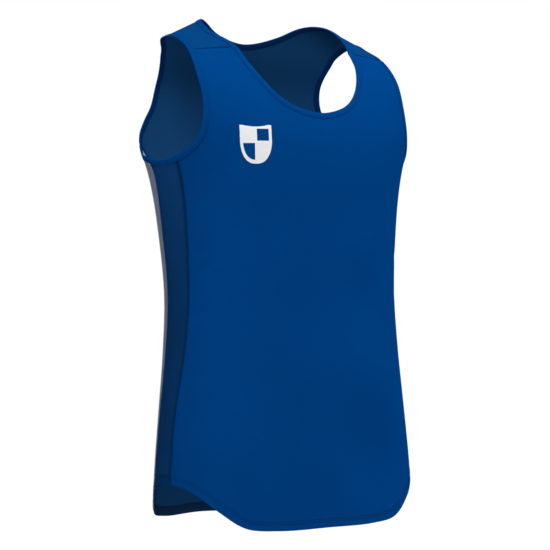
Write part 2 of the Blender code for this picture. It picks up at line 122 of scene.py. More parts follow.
# --- Edges and seams, on the wearer's left; the right is their mirror image ---
Place = namedtuple("Place", "turn reach")
NECK = (
    Place(0.0, -0.214),     # centre front
    Place(10.0, -0.204),
    Place(20.8, -0.141),
    Place(22.5, -0.1074),   # forward shoulder seam
    Place(28.8, -0.057),
    Place(25.1, 0.000),     # shoulder crest
    Place(19.8, 0.0387),
    Place(13.2, 0.0674),
    Place(0.0, 0.089),      # centre back
)
ARMHOLE = (
    Place(70.7, -0.271),    # front side seam
    Place(54.0, -0.246),
    Place(46.4, -0.200),
    Place(44.5, -0.150),
    Place(43.8, -0.101),    # forward shoulder seam
    Place(45.9, -0.0362),
    Place(43.9, 0.000),     # shoulder crest
    Place(45.4, 0.0459),
    Place(39.2, 0.0893),
    Place(35.4, 0.150),
    Place(38.2, 0.186),
    Place(45.5, 0.210),
    Place(53.2, 0.229),
    Place(60.0, 0.2455),    # back side seam
    Place(65.5, 0.257),
    Place(80.5, 0.268),
    Place(94.5, 0.275),     # underarm, round to the front
)
HEM = (
    Place(0.0, -0.780),     # centre front
    Place(20.7, -0.780),
    Place(33.8, -0.7755),
    Place(49.1, -0.7495),
    Place(62.2, -0.728),
    Place(72.7, -0.719),
    Place(81.1, -0.716),    # front side seam
    Place(95.0, -0.718),
    Place(108.0, -0.736),
    Place(118.5, -0.759),   # back side seam
    Place(135.5, -0.768),
    Place(160.0, -0.768),
    Place(180.0, -0.771),   # centre back
)
NECK_SEAM_ROW = 3
ARM_FRONT_ROW = 0
ARM_SHOULDER_ROW = 4
ARM_BACK_ROW = 13
HEM_FRONT_ROW = 6
HEM_BACK_ROW = 9
FRONT_SIDE_SEAM = (
    ARMHOLE[ARM_FRONT_ROW],
    Place(71.5, -0.341),
    Place(73.2, -0.422),
    Place(75.4, -0.529),
    Place(80.6, -0.630),
    HEM[HEM_FRONT_ROW],
)
BACK_SIDE_SEAM = (
    Place(120.0, -0.2455),
    Place(128.0, -0.2600),
    Place(132.2, -0.2790),
    Place(132.0, -0.3050),
    Place(130.5, -0.3400),
    Place(129.2, -0.390),
    Place(127.3, -0.480),
    Place(123.5, -0.570),
    Place(119.6, -0.660),
    HEM[HEM_BACK_ROW],
)

# --- Soft folds: where, how long and wide, how far they lean, and how deep (a trough is < 0) ---
Fold = namedtuple("Fold", "turn reach length width lean depth")
FOLDS = (
    Fold(19.0, -0.400, 0.036, 0.030, 10.0, 0.0024),         # front, the wearer's left
    Fold(21.0, -0.478, 0.036, 0.030, 10.0, -0.0026),
    Fold(22.0, -0.578, 0.058, 0.050, -4.0, 0.0058),
    Fold(24.0, -0.700, 0.058, 0.050, -4.0, -0.0055),
    Fold(5.0, -0.520, 0.110, 0.034, 8.0, 0.0022),
    Fold(-40.0, -0.560, 0.100, 0.030, 6.0, -0.0016),
    Fold(14.0, -0.287, 0.042, 0.120, 0.0, 0.0034),          # across, over and under the chest
    Fold(-62.0, -0.400, 0.020, 0.0060, 62.0, -0.0011),      # puckers by the front side seams
    Fold(-63.0, -0.428, 0.018, 0.0050, 70.0, -0.0010),
    Fold(-65.0, -0.486, 0.018, 0.0060, 64.0, -0.0010),
    Fold(62.0, -0.415, 0.020, 0.0060, -62.0, -0.0011),
    Fold(65.0, -0.470, 0.018, 0.0055, -68.0, -0.0010),
    Fold(-99.0, -0.560, 0.070, 0.016, -4.0, -0.0014),       # sides
    Fold(100.0, -0.470, 0.070, 0.016, 5.0, -0.0018),
    Fold(157.0, -0.400, 0.075, 0.028, 9.0, -0.0042),        # back
    Fold(208.0, -0.600, 0.090, 0.034, -6.0, -0.0050),
    Fold(184.0, -0.500, 0.110, 0.036, -8.0, 0.0020),
)

# --- Chest print ---
PRINT_CENTRE = Place(-28.4, -0.260)
PRINT_WIDTH = 0.044
PRINT_HEIGHT = 0.052
PRINT_BORDER = 0.0040
PRINT_NECK = 0.0015        # half the width left between the open quarters
PRINT_STRAIGHT = 0.40      # part of the height where the sides run straight down
PRINT_BELLY = 0.8          # how full the curved sides are; 1 is an ellipse
PRINT_ENDS = 2.6           # border left at top and tip together, in borders
PRINT_CROSS = 0.06         # part of the height from the middle up to the cross
PRINT_ARC_STEPS = 24
PRINT_STEPS = 4            # moves from its centre out to its edge


# ---------------------------------------------------------------- the form

def smooth(knots, values, at):
    """Values between the knots, on a smooth curve through them."""
    width = np.diff(knots)
    rise = np.diff(values, axis=0) / width[:, None]
    slope = np.empty_like(values)
    slope[0], slope[-1] = rise[0], rise[-1]
    shared = width[:-1, None] + width[1:, None]
    slope[1:-1] = (rise[:-1] * width[1:, None] + rise[1:] * width[:-1, None]) / shared
    cell = np.clip(np.searchsorted(knots, at) - 1, 0, len(knots) - 2)
    span = width[cell][..., None]
    t = (at - knots[cell])[..., None] / span
    start = (2 * t**3 - 3 * t**2 + 1) * values[cell] + (t**3 - 2 * t**2 + t) * span * slope[cell]
    end = (3 * t**2 - 2 * t**3) * values[cell + 1] + (t**3 - t**2) * span * slope[cell + 1]
    return start + end


def form_table():
    """The levels as one run, from the front hem over the crest to the back hem."""
    front = [(-row.drop, row.half_width, row.side_y, row.front_y, row.shoulder_fall)
             for row in reversed(LEVELS[1:])]
    back = [(row.drop, row.half_width, row.side_y, row.back_y, row.shoulder_fall)
            for row in LEVELS]
    table = np.array(front + back)
    return table[:, 0], table[:, 1:]


FORM_REACH, FORM_VALUES = form_table()


def own_name(places):
    """Each place under the name whose turn is at most 90."""
    turn = (places[..., 0] + 180.0) % 360.0 - 180.0
    reach = places[..., 1]
    past_side = np.abs(turn) > 90.0
    return np.where(past_side, np.sign(turn) * 180.0 - turn, turn), np.where(past_side, -reach, reach)


def on_form(places):
    """Points of the form at an array of (turn, reach)."""
    turn, reach = own_name(places)
    half_width, side_y, centre_y, fall = np.moveaxis(smooth(FORM_REACH, FORM_VALUES, reach), -1, 0)
    sine, cosine = np.sin(np.radians(turn)), np.cos(np.radians(turn))
    x = half_width * sine * (1 + FULLNESS * cosine**2)
    y = side_y + (centre_y - side_y) * cosine * (1 + FULLNESS * sine**2)
    drop = np.hypot(reach, CREST_RADIUS) - CREST_RADIUS
    z = -drop - fall * (np.hypot(x, RIDGE_RADIUS) - RIDGE_RADIUS)
    return np.stack([x, y, z], axis=-1)


def steps_on_form(places):
    """How a point moves for one degree of turn, and for one metre of reach."""
    turn_step = np.array([TURN_STEP, 0.0])
    reach_step = np.array([0.0, REACH_STEP])
    by_turn = (on_form(places + turn_step) - on_form(places - turn_step)) / (2 * TURN_STEP)
    by_reach = (on_form(places + reach_step) - on_form(places - reach_step)) / (2 * REACH_STEP)
    return by_turn, by_reach


def unit(vectors):
    return vectors / np.linalg.norm(vectors, axis=-1, keepdims=True)


def outward(places):
    """Directions that point out of the cloth."""
    by_turn, by_reach = steps_on_form(places)
    return unit(np.cross(by_turn, by_reach))


def slide(places, shifts):
    """Places moved over the form by small shifts in space."""
    by_turn, by_reach = steps_on_form(places)
    tt = (by_turn * by_turn).sum(-1)
    tr = (by_turn * by_reach).sum(-1)
    rr = (by_reach * by_reach).sum(-1)
    along_turn = (by_turn * shifts).sum(-1)
    along_reach = (by_reach * shifts).sum(-1)
    bottom = tt * rr - tr * tr
    turn = (rr * along_turn - tr * along_reach) / bottom
    reach = (tt * along_reach - tr * along_turn) / bottom
    return places + np.stack([turn, reach], axis=-1)


# ---------------------------------------------------------------- edges and seams

def mirrored(places):
    return np.asarray(places, float) * (-1.0, 1.0)


PATH_STEPS = 24


def path(rows, before, after):
    """A smooth path through the rows, in fine steps; before and after only steer its ends."""
    knots = np.array([before, *rows, after], float)
    flat = knots * (DEGREE_LENGTH, 1.0)
    length = np.concatenate([[0.0], np.cumsum(np.linalg.norm(np.diff(flat, axis=0), axis=1))])
    fine = [np.linspace(length[i], length[i + 1], PATH_STEPS, endpoint=False)
            for i in range(1, len(knots) - 2)]
    return smooth(length, knots, np.concatenate(fine + [length[-2:-1]]))


def open_path(rows):
    """A path whose ends run on straight."""
    rows = np.array(rows)
    return path(rows, 2 * rows[0] - rows[1], 2 * rows[-1] - rows[-2])


def stretch(fine_path, first_row, last_row):
    """Evenly spaced places on a path between two of its rows."""
    part = fine_path[first_row * PATH_STEPS:last_row * PATH_STEPS + 1]
    run = np.linalg.norm(np.diff(on_form(part), axis=0), axis=1)
    length = np.concatenate([[0.0], np.cumsum(run)])
    at = np.linspace(0.0, length[-1], round(length[-1] / STATION) + 1)
    return np.stack([np.interp(at, length, part[:, 0]), np.interp(at, length, part[:, 1])], axis=-1)


def renamed(places):
    """Places of the wearer's left under their other names."""
    return np.asarray(places, float) * (-1.0, -1.0) + (180.0, 0.0)


neck_path = path(NECK, mirrored(NECK[1]), mirrored(NECK[-2]))
arm_path = path([*ARMHOLE, renamed(ARMHOLE[0])], renamed(ARMHOLE[-1]), renamed(ARMHOLE[1]))
hem_path = path(HEM, mirrored(HEM[1]), (360.0 - HEM[-2].turn, HEM[-2].reach))
seam_ends = np.array([NECK[NECK_SEAM_ROW], ARMHOLE[ARM_SHOULDER_ROW]])

neck_front = stretch(neck_path, 0, NECK_SEAM_ROW)
neck_back = stretch(neck_path, NECK_SEAM_ROW, len(NECK) - 1)
arm_front = stretch(arm_path, ARM_FRONT_ROW, ARM_SHOULDER_ROW)
arm_back = stretch(arm_path, ARM_SHOULDER_ROW, ARM_BACK_ROW)
arm_under = stretch(arm_path, ARM_BACK_ROW, len(ARMHOLE))
hem_front = stretch(hem_path, 0, HEM_FRONT_ROW)
hem_side = stretch(hem_path, HEM_FRONT_ROW, HEM_BACK_ROW)
hem_back = stretch(hem_path, HEM_BACK_ROW, len(HEM) - 1)
front_seam = stretch(open_path(FRONT_SIDE_SEAM), 0, len(FRONT_SIDE_SEAM) - 1)
back_seam = stretch(open_path(BACK_SIDE_SEAM), 0, len(BACK_SIDE_SEAM) - 1)
shoulder_share = np.linspace(0.0, 1.0, SHOULDER_STATIONS)[:, None]
shoulder_seam = seam_ends[0] + shoulder_share * (seam_ends[1] - seam_ends[0])

neck_half = np.concatenate([neck_front, neck_back[1:]])
neck_loop = np.concatenate([neck_half, mirrored(neck_half)[::-1][1:-1]])
arm_loop = np.concatenate([arm_front[:-1], arm_back[:-1], arm_under[:-1]])
hem_half = np.concatenate([hem_front[:-1], hem_side[:-1], hem_back])
hem_loop = np.concatenate([hem_half, mirrored(hem_half)[::-1][1:-1]])


def edge_inward(loop, side):
    """Directions along the cloth, square to a closed edge, on the given side (1 or -1) of it."""
    points = on_form(loop)
    along = unit(np.roll(points, -1, axis=0) - np.roll(points, 1, axis=0))
    return unit(np.cross(outward(loop), along)) * side


neck_inward = edge_inward(neck_loop, -1.0)
arm_inward = edge_inward(arm_loop, 1.0)
hem_inward = edge_inward(hem_loop, 1.0)


# ---------------------------------------------------------------- relief of the cloth

def strap_lengths():
    """Reaches, and the cloth's length from the shoulder crest to each, down a strap."""
    reaches = np.linspace(-0.82, 0.82, 657)
    points = on_form(np.stack([np.full(len(reaches), STRAP_TURN), reaches], axis=-1))
    run = np.linalg.norm(np.diff(points, axis=0), axis=1)
    lengths = np.concatenate([[0.0], np.cumsum(run)])
    return reaches, lengths - np.interp(0.0, reaches, lengths)


STRAP_REACHES, STRAP_LENGTHS = strap_lengths()


def to_pattern(places):
    """Flat pattern points, about true to length."""
    return np.stack([places[..., 0] * DEGREE_LENGTH,
                     np.interp(places[..., 1], STRAP_REACHES, STRAP_LENGTHS)], axis=-1)


def from_pattern(points):
    return np.stack([points[..., 0] / DEGREE_LENGTH,
                     np.interp(points[..., 1], STRAP_LENGTHS, STRAP_REACHES)], axis=-1)


def fold_height(places):
    """How far the soft folds lift the cloth off the form."""
    turn, reach = own_name(places)
    round_turn = np.where(reach > 0, np.sign(turn + 1e-9) * 180.0 - turn, turn)
    height = np.zeros(turn.shape)
    for fold in FOLDS:
        across = ((round_turn - fold.turn + 180.0) % 360.0 - 180.0) * FOLD_DEGREE
        along = fold.reach + np.abs(reach)
        lean = math.radians(fold.lean)
        u = across * math.cos(lean) + along * math.sin(lean)
        v = along * math.cos(lean) - across * math.sin(lean)
        height += fold.depth * np.exp(-(u / fold.width) ** 2 - (v / fold.length) ** 2)
    return height


SEAM_POINTS = np.concatenate([on_form(side(seam)) for side in (np.asarray, mirrored)
                              for seam in (front_seam, back_seam, shoulder_seam)])


def seam_distance(points):
    """Distance from each point to the nearest seam."""
    nearest = np.empty(len(points))
    for start in range(0, len(points), BATCH):
        gap = np.linalg.norm(points[start:start + BATCH, None] - SEAM_POINTS, axis=-1)
        nearest[start:start + BATCH] = gap.min(axis=1)
    return nearest


def near_seam(points):
    """How near each point is to a seam: 1 on it and 0 from SEAM_REACH away."""
    return 1.0 - np.minimum(seam_distance(points) / SEAM_REACH, 1.0)


def cloth_surface(places):
    """Points of the cloth's middle, and the directions out of it."""
    points = on_form(places)
    out = outward(places)
    ditch = SEAM_DITCH * np.exp(-(seam_distance(points) / SEAM_SOFT) ** 2)
    lift = fold_height(places) - ditch
    return points + out * lift[:, None], out


# ---------------------------------------------------------------- panels

CUT_BACK = BINDING_FOLD + BINDING_PLAY
HALF_GAP = SEAM_GAP / 2


def chain(parts):
    """Joins stretches end to end: places, and how far each step between them is inset."""
    places, insets = [], []
    for part, inset in parts:
        places.extend(part[:-1])
        insets.extend([inset] * (len(part) - 1))
    return np.array(places), np.array(insets)


def both_sides(parts):
    """The wearer's left half of an outline, then its mirror image back to the start."""
    other = [(mirrored(part)[::-1], inset) for part, inset in reversed(parts)]
    return chain(parts + other)


def inset_outline(places, insets):
    """The outline moved in over the form, each step by its own inset."""
    points = on_form(places)
    out = outward(places)
    ahead = unit(np.roll(points, -1, axis=0) - points)
    behind = np.roll(ahead, 1, axis=0)
    inward_ahead = unit(np.cross(out, ahead))
    inward_behind = unit(np.cross(out, behind))
    inset_behind = np.roll(insets, 1)
    middle = inward_ahead + inward_behind
    turn = (inward_ahead * inward_behind).sum(-1)
    plain = middle / (1 + turn)[:, None] * insets[:, None]
    corner = np.abs(insets - inset_behind) > 1e-9
    share = 1 - turn**2
    share[~corner] = 1.0
    weight_ahead = ((insets - turn * inset_behind) / share)[:, None]
    weight_behind = ((inset_behind - turn * insets) / share)[:, None]
    mitred = inward_ahead * weight_ahead + inward_behind * weight_behind
    return slide(places, np.where(corner[:, None], mitred, plain))


def distance_to_outline(points, outline):
    """Distance from each flat point to the closed outline."""
    leg = np.roll(outline, -1, axis=0) - outline
    nearest = np.empty(len(points))
    for start in range(0, len(points), BATCH):
        offset = points[start:start + BATCH, None] - outline
        share = np.clip((offset * leg).sum(-1) / (leg * leg).sum(-1), 0.0, 1.0)
        gap = np.linalg.norm(offset - share[..., None] * leg, axis=-1)
        nearest[start:start + BATCH] = gap.min(axis=1)
    return nearest


def inside(points, outline):
    """Whether each flat point lies inside the closed outline."""
    x, y = points[:, 0, None], points[:, 1, None]
    x0, y0 = outline[:, 0], outline[:, 1]
    x1, y1 = np.roll(x0, -1), np.roll(y0, -1)
    spans = (y0 > y) != (y1 > y)
    rise = np.where(y1 == y0, 1.0, y1 - y0)
    crossing = x0 + (y - y0) / rise * (x1 - x0)
    return (spans & (x < crossing)).sum(axis=1) % 2 == 1


def grid_points(flat, step, clearance):
    """Staggered flat points inside an outline and clear of it."""
    low, high = flat.min(axis=0), flat.max(axis=0)
    rows = []
    for index, v in enumerate(np.arange(low[1], high[1], step * math.sqrt(3) / 2)):
        middle = (low[0] + high[0]) / 2
        count = int((high[0] - low[0]) / 2 / step) + 1
        u = middle + (np.arange(-count, count + 1) + 0.5 * (index % 2)) * step
        rows.append(np.stack([u, np.full(len(u), v)], axis=-1))
    points = np.concatenate(rows)
    points = points[inside(points, flat)]
    return points[distance_to_outline(points, flat) > clearance * step]


def fill(flat, edges, outline_count):
    """Triangles over flat points, within the outline that comes first among them."""
    result = delaunay_2d_cdt([tuple(point) for point in flat.tolist()], edges,
                             [list(range(outline_count))], 1, 1e-7)
    source = [origins[0] for origins in result[3]]
    return [[source[i] for i in face] for face in result[2]]


def fill_outline(places, insets):
    """Places over a panel and the triangles between them."""
    outline = inset_outline(places, insets)
    flat = to_pattern(outline)
    flat = np.concatenate([flat, grid_points(flat, GRID, 0.55)])
    places = np.concatenate([outline, from_pattern(flat[len(outline):])])
    return places, fill(flat, [], len(outline))


def walled(points, directions, triangles, low, high):
    """A closed wall between two heights: its vertices, faces and which layer each is on."""
    count = len(points)
    vertices = np.concatenate([points + directions * high, points + directions * low])
    faces = [list(face) for face in triangles]
    faces += [[i + count for i in reversed(face)] for face in triangles]
    layers = [0] * len(triangles) + [1] * len(triangles)
    used = {(face[i], face[(i + 1) % 3]) for face in triangles for i in range(3)}
    for first, second in sorted(used):
        if (second, first) not in used:
            faces.append([first + count, second + count, second, first])
            layers.append(0)
    return vertices, faces, layers


# ---------------------------------------------------------------- strips that follow an edge

SectionPoint = namedtuple("SectionPoint", "into height")


def binding_section():
    """The folded strip across its width, all the way round, with its stitched groove."""
    slot = CLOTH / 2 + BINDING_PLAY
    top = slot + BINDING_WALL
    nose = [SectionPoint(top - top * math.sin(turn), top * math.cos(turn))
            for turn in np.linspace(0.0, math.pi / 2, 6)[:-1]]
    leg = [SectionPoint(BINDING_WIDTH - back, height) for back, height in (
        (0.0, slot),
        (0.0, top - 0.00035),
        (0.0003, top - 0.00008),
        (0.0010, top),
        (0.0015, top - 0.00016),
        (BINDING_STITCHES, top - 0.00026),
        (0.0023, top - 0.00016),
        (0.0029, top + 0.00005),
        (0.0042, top + 0.00018),
        (0.0056, top + 0.00012),
    )]
    half = [*leg, *nose]
    other = [SectionPoint(point.into, -point.height) for point in reversed(half)]
    tip = [SectionPoint(0.0, 0.0)]
    return [SectionPoint(BINDING_FOLD, slot), *half, *tip, *other, SectionPoint(BINDING_FOLD, -slot)]


def hem_section():
    """The turned-up edge: round the cloth's cut edge and up inside."""
    near = CLOTH / 2 + 0.00005
    far = near + HEM_WALL
    return [SectionPoint(into, height) for into, height in (
        (0.0004, near),
        (0.0, near + 0.00010),
        (-0.0007, near - 0.00005),
        (-0.0011, -0.0003),
        (-0.0009, -far + 0.0002),
        (-0.0003, -far - 0.00010),
        (0.0012, -far - 0.00015),
        (HEM_TURN / 2, -far - 0.00020),
        (HEM_TURN - 0.0018, -far),
        (HEM_TURN, -far + 0.0001),
        (HEM_TURN, -near),
        (HEM_TURN / 2, -near),
        (0.0, -near),
        (-0.0003, 0.0),
    )]


def swept(loop, inward, section, closed):
    """A strip of the given section along a line of places: vertices, faces and pattern."""
    rings = []
    for point in section:
        ring = slide(loop, inward * point.into)
        surface, out = cloth_surface(ring)
        rings.append(surface + out * point.height)
    vertices = np.concatenate(rings)
    count, size = len(loop), len(section)
    along = np.linalg.norm(np.diff(rings[0], axis=0), axis=1)
    along = np.concatenate([[0.0], np.cumsum(along)])
    steps = [math.hypot(b.into - a.into, b.height - a.height) for a, b in zip(section, section[1:])]
    round_section = np.concatenate([[0.0], np.cumsum(steps)])
    pattern = np.stack([np.tile(along, size), np.repeat(round_section, count)], axis=-1)
    faces = []
    for j in range(size):
        row, next_row = j * count, (j + 1) % size * count
        for i in range(count if closed else count - 1):
            k = (i + 1) % count
            faces.append([row + i, row + k, next_row + k, next_row + i])
    if not closed:
        faces.append([j * count for j in range(size)])
        faces.append([j * count + count - 1 for j in reversed(range(size))])
    return vertices, faces, pattern


# ---------------------------------------------------------------- chest print

def shield_points(width, height, straight, steps):
    """A heater shield, from its top left corner anticlockwise, about its middle."""
    half = width / 2
    top, shoulder, tip = height / 2, height / 2 - straight * height, -height / 2
    side = []
    for step in range(steps + 1):
        turn = math.pi / 2 * step / steps
        side.append((half * math.cos(turn) ** PRINT_BELLY if step < steps else 0.0,
                     shoulder + (tip - shoulder) * math.sin(turn)))
    left = [(-x, y) for x, y in side]
    right = side[::-1][1:]
    return [(-half, top), *left, *right, (half, top)]


def print_outlines():
    """The shield's outline and its two open quarters, flat, about its middle."""
    outline = shield_points(PRINT_WIDTH, PRINT_HEIGHT, PRINT_STRAIGHT, PRINT_ARC_STEPS)
    inner = shield_points(PRINT_WIDTH - 2 * PRINT_BORDER, PRINT_HEIGHT - PRINT_ENDS * PRINT_BORDER,
                          PRINT_STRAIGHT, PRINT_ARC_STEPS)
    middle_y = PRINT_HEIGHT * PRINT_CROSS
    top = inner[0][1]
    half = inner[-1][0]
    above, below = middle_y + PRINT_NECK, middle_y - PRINT_NECK
    upper = [(PRINT_NECK, above), (half, above), (half, top), (PRINT_NECK, top)]
    curve = [(x, y) for x, y in inner[1:PRINT_ARC_STEPS + 1] if y < below - 0.001]
    tip = inner[PRINT_ARC_STEPS + 1][1]
    lower = [(-PRINT_NECK, below), (-half, below), *curve, (-PRINT_NECK, tip)]
    return [np.array(loop) for loop in (outline, upper, lower)]


def print_solid():
    """The print's places, its triangles and its flat points."""
    loops = print_outlines()
    count = len(loops[0])
    flat = np.concatenate([*loops, grid_points(loops[0], PRINT_GRID, 0.5)])
    edges, start = [], count
    for loop in loops[1:]:
        edges += [(start + i, start + (i + 1) % len(loop)) for i in range(len(loop))]
        start += len(loop)
    triangles = fill(flat, edges, count)
    middle = flat[np.array(triangles)].mean(axis=1)
    kept = ~inside(middle, loops[1]) & ~inside(middle, loops[2])
    triangles = [face for face, keep in zip(triangles, kept) if keep]
    centre = np.array(PRINT_CENTRE, float)
    across = unit(np.cross(np.array([0.0, 0.0, 1.0]), outward(centre)))
    up = unit(np.cross(outward(centre), across))
    shifts = flat[:, :1] * across + flat[:, 1:] * up
    places = np.tile(centre, (len(flat), 1))
    for step in range(PRINT_STEPS):
        places = slide(places, shifts / PRINT_STEPS)
    return places, triangles, flat


# ---------------------------------------------------------------- materials

ROYAL = (0.0003, 0.056, 0.246)
ROYAL_BACK = (0.0020, 0.056, 0.212)
ROYAL_INSIDE = (0.0098, 0.071, 0.208)
# Painted shade: a darker copy of ROYAL_INSIDE for the inside of the turned hem.
HEM_INSIDE_SHADE = (0.0090, 0.040, 0.110)
# Painted shade: a darker copy of ROYAL for the binding's inner leg.
BINDING_INSIDE_SHADE = (0.0003, 0.034, 0.150)
NAVY = (0.0026, 0.051, 0.192)
THREAD = (0.0002, 0.034, 0.160)
HEM_THREAD = (0.0001, 0.016, 0.080)
WHITE = (0.97, 0.975, 0.985)


class Nodes:
    """Adds nodes to a material's tree and links them, each in one line."""

    def __init__(self, name):
        self.material = bpy.data.materials.new(name)
        self.material.use_nodes = True
        self.tree = self.material.node_tree
        self.shader = self.tree.nodes["Principled BSDF"]

    def link(self, value, socket):
        if isinstance(value, bpy.types.NodeSocket):
            self.tree.links.new(value, socket)
        else:
            socket.default_value = value

    def math(self, operation, first, second=0.0, third=0.0):
        node = self.tree.nodes.new("ShaderNodeMath")
        node.operation = operation
        for value, socket in zip((first, second, third), node.inputs):
            self.link(value, socket)
        return node.outputs[0]

    def mix(self, share, first, second):
        node = self.tree.nodes.new("ShaderNodeMix")
        node.data_type = "RGBA"
        self.link(share, node.inputs["Factor"])
        self.link(first, node.inputs["A"])
        self.link(second, node.inputs["B"])
        return node.outputs["Result"]

    def cloud(self, scale, detail=2.0, spread=0.2):
        """Soft blotches from 0 to 1, fixed to the piece."""
        place = self.tree.nodes.new("ShaderNodeTexCoord").outputs["Object"]
        node = self.tree.nodes.new("ShaderNodeTexNoise")
        self.link(place, node.inputs["Vector"])
        node.inputs["Scale"].default_value = scale
        node.inputs["Detail"].default_value = detail
        return self.range(node.outputs["Fac"], 0.5 - spread, 0.5 + spread)

    def range(self, value, low, high, to_low=0.0, to_high=1.0):
        node = self.tree.nodes.new("ShaderNodeMapRange")
        self.link(value, node.inputs["Value"])
        ends = {"From Min": low, "From Max": high, "To Min": to_low, "To Max": to_high}
        for key, number in ends.items():
            node.inputs[key].default_value = number
        return node.outputs["Result"]

    def bump(self, height, strength, distance):
        node = self.tree.nodes.new("ShaderNodeBump")
        node.inputs["Strength"].default_value = strength
        node.inputs["Distance"].default_value = distance
        self.link(height, node.inputs["Height"])
        return node.outputs["Normal"]

    def pattern_place(self):
        node = self.tree.nodes.new("ShaderNodeUVMap")
        node.uv_map = "cloth"
        parts = self.tree.nodes.new("ShaderNodeSeparateXYZ")
        self.tree.links.new(node.outputs["UV"], parts.inputs[0])
        return parts.outputs["X"], parts.outputs["Y"]

    def painted_seam_shade(self, half_width):
        """Where the painted shade along a seam lies: 1 on a seam, fading to 0 at a distance from it.
        """
        node = self.tree.nodes.new("ShaderNodeAttribute")
        node.attribute_name = "near_seam"
        return self.range(node.outputs["Fac"], 1.0 - half_width / SEAM_REACH, 1.0)

    def set(self, name, value):
        self.link(value, self.shader.inputs[name])


def dark(color, share):
    """A share of a colour, with full alpha."""
    return tuple(channel * share for channel in color) + (1.0,)


WALE = 0.00090             # width of one column of knit stitches
COURSE = 0.00070           # height of one row


def knit_height(nodes):
    """Rows of small V-shaped stitches, 0 to 1."""
    u, v = nodes.pattern_place()
    column = nodes.math("FRACT", nodes.math("DIVIDE", u, WALE))
    from_middle = nodes.math("ABSOLUTE", nodes.math("MULTIPLY_ADD", column, 2.0, -1.0))
    row = nodes.math("MULTIPLY_ADD", from_middle, 0.55, nodes.math("DIVIDE", v, COURSE))
    wave = nodes.math("SINE", nodes.math("MULTIPLY", row, 2 * math.pi))
    rows = nodes.math("MULTIPLY_ADD", wave, 0.5, 0.5)
    ribs = nodes.math("SUBTRACT", 1.0, nodes.math("POWER", from_middle, 4.0))
    return nodes.math("MULTIPLY", nodes.math("MULTIPLY_ADD", rows, 0.6, 0.4), ribs)


def knit(name, color, relief=0.35, sheen=0.06):
    """Fine matte polyester knit."""
    nodes = Nodes(name)
    stitch = knit_height(nodes)
    cloudy = nodes.cloud(9.0)
    lengthwise = nodes.cloud(160.0, 3.0)
    tone = nodes.math("MULTIPLY_ADD", stitch, 0.5, nodes.math("MULTIPLY", cloudy, 0.3))
    tone = nodes.math("MULTIPLY_ADD", lengthwise, 0.2, tone)
    cloth = nodes.mix(tone, dark(color, 0.90), dark(color, 1.08))
    # Painted shade: the colour darkens to 30 per cent in a narrow band along each seam, standing in
    # for the shade in its ditch.
    nodes.set("Base Color", nodes.mix(nodes.painted_seam_shade(0.0019), cloth, dark(color, 0.30)))
    nodes.set("Roughness", nodes.range(stitch, 0.0, 1.0, 0.86, 0.70))
    nodes.set("Normal", nodes.bump(stitch, relief, 0.00012))
    nodes.set("Sheen Weight", sheen)
    nodes.set("Sheen Roughness", 0.45)
    nodes.set("Sheen Tint", (0.0, 0.20, 1.0, 1.0))
    nodes.set("Specular IOR Level", 0.0)
    return nodes.material


HOLE_PITCH = 0.0016


def mesh_knit(name, color, opacity):
    """Half-sheer warp-knit mesh: small staggered holes in fine cloth."""
    nodes = Nodes(name)
    u, v = nodes.pattern_place()
    across = nodes.math("SINE", nodes.math("MULTIPLY", u, 2 * math.pi / HOLE_PITCH))
    along = nodes.math("SINE", nodes.math("MULTIPLY", v, 2 * math.pi / HOLE_PITCH))
    weave = nodes.math("MULTIPLY", across, along)
    holes = nodes.range(weave, -0.5, 0.6)
    cloudy = nodes.cloud(10.0)
    tone = nodes.math("MULTIPLY_ADD", holes, 0.6, nodes.math("MULTIPLY", cloudy, 0.4))
    cloth = nodes.mix(tone, dark(color, 0.88), dark(color, 1.12))
    # Painted shade: along each seam the mesh darkens to half and is made less sheer.
    seam = nodes.painted_seam_shade(0.0042)
    nodes.set("Base Color", nodes.mix(seam, cloth, dark(color, 0.50)))
    weave_alpha = nodes.range(holes, 0.0, 1.0, opacity - 0.16, opacity + 0.16)
    nodes.set("Alpha", nodes.math("MAXIMUM", weave_alpha, seam))
    nodes.set("Roughness", nodes.range(holes, 0.0, 1.0, 0.88, 0.70))
    nodes.set("Normal", nodes.bump(holes, 0.3, 0.00012))
    nodes.set("Specular IOR Level", 0.02)
    return nodes.material


def print_film(name, color):
    """Smooth white transfer with the knit just showing through."""
    nodes = Nodes(name)
    cloudy = nodes.cloud(60.0)
    nodes.set("Base Color", nodes.mix(cloudy, dark(color, 0.96), dark(color, 1.0)))
    nodes.set("Roughness", nodes.range(cloudy, 0.0, 1.0, 0.50, 0.58))
    nodes.set("Normal", nodes.bump(knit_height(nodes), 0.10, 0.00010))
    nodes.set("Specular IOR Level", 0.3)
    return nodes.material


def thread(name, color):
    """Twisted sewing thread."""
    nodes = Nodes(name)
    twist = nodes.cloud(2200.0, 1.0, 0.15)
    nodes.set("Base Color", nodes.mix(twist, dark(color, 0.80), dark(color, 1.15)))
    nodes.set("Roughness", nodes.range(twist, 0.0, 1.0, 0.80, 0.68))
    nodes.set("Normal", nodes.bump(twist, 0.3, 0.00008))
    nodes.set("Specular IOR Level", 0.04)
    return nodes.material


front_knit = knit("front_royal_knit", ROYAL)
back_knit = knit("back_royal_knit", ROYAL_BACK)
inside_knit = knit("inside_royal_knit", ROYAL_INSIDE, 0.25, 0.0)
hem_inside_shaded_knit = knit("hem_inside_shaded_knit", HEM_INSIDE_SHADE, 0.25, 0.0)
binding_knit = knit("binding_royal_knit", ROYAL, 0.45)
binding_inside_shaded_knit = knit("binding_inside_shaded_knit", BINDING_INSIDE_SHADE, 0.35, 0.0)
side_mesh = mesh_knit("side_navy_mesh", NAVY, 0.45)
allowance_knit = knit("allowance_navy_knit", NAVY, 0.3, 0.0)
white_film = print_film("white_print_film", WHITE)
royal_thread = thread("royal_thread", THREAD)
hem_thread = thread("hem_thread", HEM_THREAD)


# ---------------------------------------------------------------- pieces

def in_scene(name, data):
    item = bpy.data.objects.new(name, data)
    bpy.context.scene.collection.objects.link(item)
    return item


